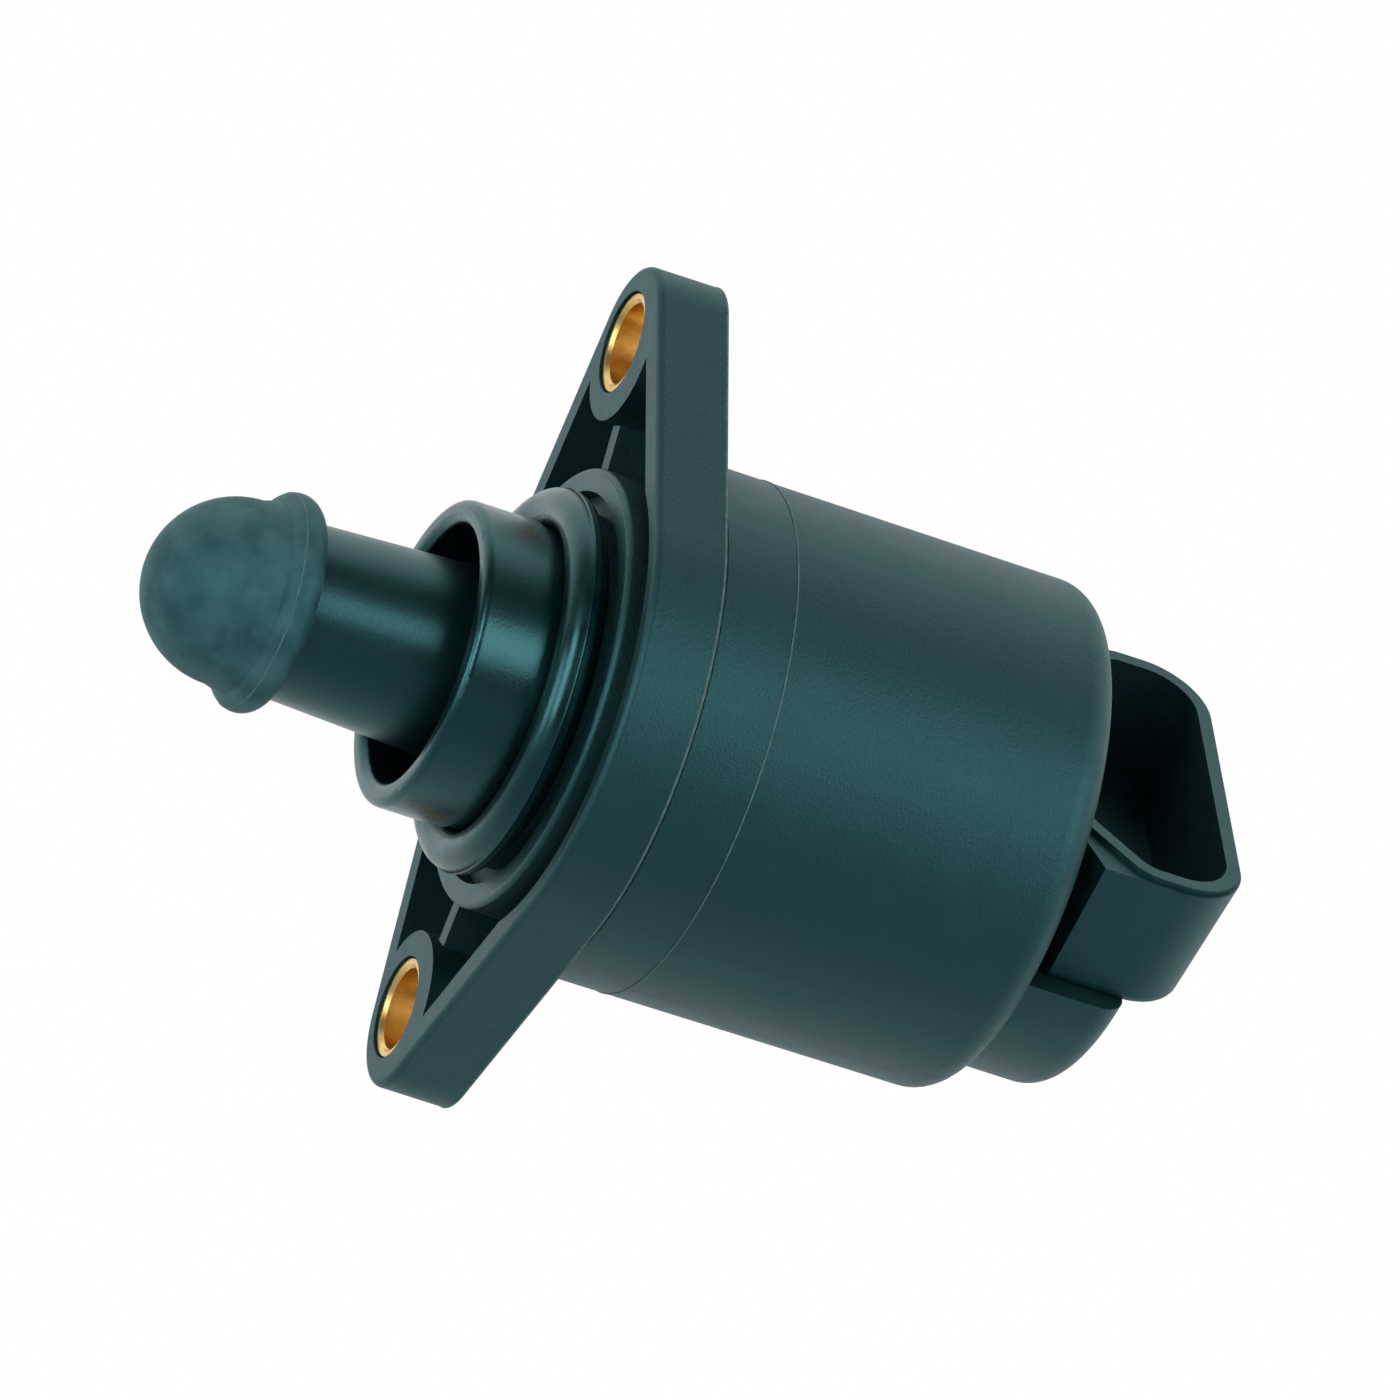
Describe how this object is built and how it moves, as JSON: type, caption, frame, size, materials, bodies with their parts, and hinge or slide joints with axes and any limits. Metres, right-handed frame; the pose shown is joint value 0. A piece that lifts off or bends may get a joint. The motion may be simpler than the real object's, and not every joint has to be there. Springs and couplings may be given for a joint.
{
  "type": "idle air control valve",
  "caption": "Stepper-driven idle air control valve with a screw-driven pintle, a flange with two brass-bushed holes, an O-ring collar and a rear connector socket.",
  "frame": {"origin": "on the valve axis, in the plane of the flange face that bolts to the throttle body", "axes": "+X along the valve axis from the pintle to the electrical socket, +Z along the line through the two bolt holes, +Y towards the side on which the ears are set off"},
  "size_m": [0.0773, 0.0368, 0.059],
  "materials": {
    "black_plastic": "satin",
    "nose_plastic": "satin",
    "rubber": "satin",
    "brass": "satin",
    "bronze": "matte",
    "natural_plastic": "matte",
    "bearing_steel": "polished",
    "plated_sheet": "satin",
    "copper_wire": "gloss",
    "magnet": "matte",
    "terminal_metal": "satin"
  },
  "bodies": {
    "valve_body": {"front_housing": "black_plastic", "motor_case": "black_plastic", "o_ring": "rubber", "bush_upper": "brass", "bush_lower": "brass", "guide_plate": "natural_plastic", "bearing_outer_ring": "bearing_steel", "stator_front_cup": "plated_sheet", "stator_front_lid": "plated_sheet", "stator_rear_cup": "plated_sheet", "stator_rear_lid": "plated_sheet", "bobbin_front": "natural_plastic", "bobbin_rear": "natural_plastic", "winding_front": "copper_wire", "winding_rear": "copper_wire", "rear_bush": "bronze", "terminal_1": "terminal_metal", "terminal_2": "terminal_metal", "terminal_3": "terminal_metal", "terminal_4": "terminal_metal"},
    "rotor": {"rotor_hub": "natural_plastic", "rotor_magnet": "magnet", "thrust_washer": "bearing_steel", "bearing_inner_ring": "bearing_steel", "bearing_balls": "bearing_steel"},
    "pintle_screw": {"pintle": "nose_plastic", "lead_screw": "bearing_steel"}
  },
  "joints": [
    {"name": "rotor_spin", "type": "hinge", "parent": "valve_body", "child": "rotor", "pos_m": [0.02, 0, 0], "axis": [1, 0, 0], "range_deg": [-360, 2700]},
    {"name": "pintle_slide", "type": "slide", "parent": "valve_body", "child": "pintle_screw", "axis": [1, 0, 0], "range_m": [-0.001, 0.0075]}
  ],
  "couplings": [
    {"joint": "pintle_slide", "follows": "rotor_spin", "m_per_rad": 0.00015915}
  ]
}
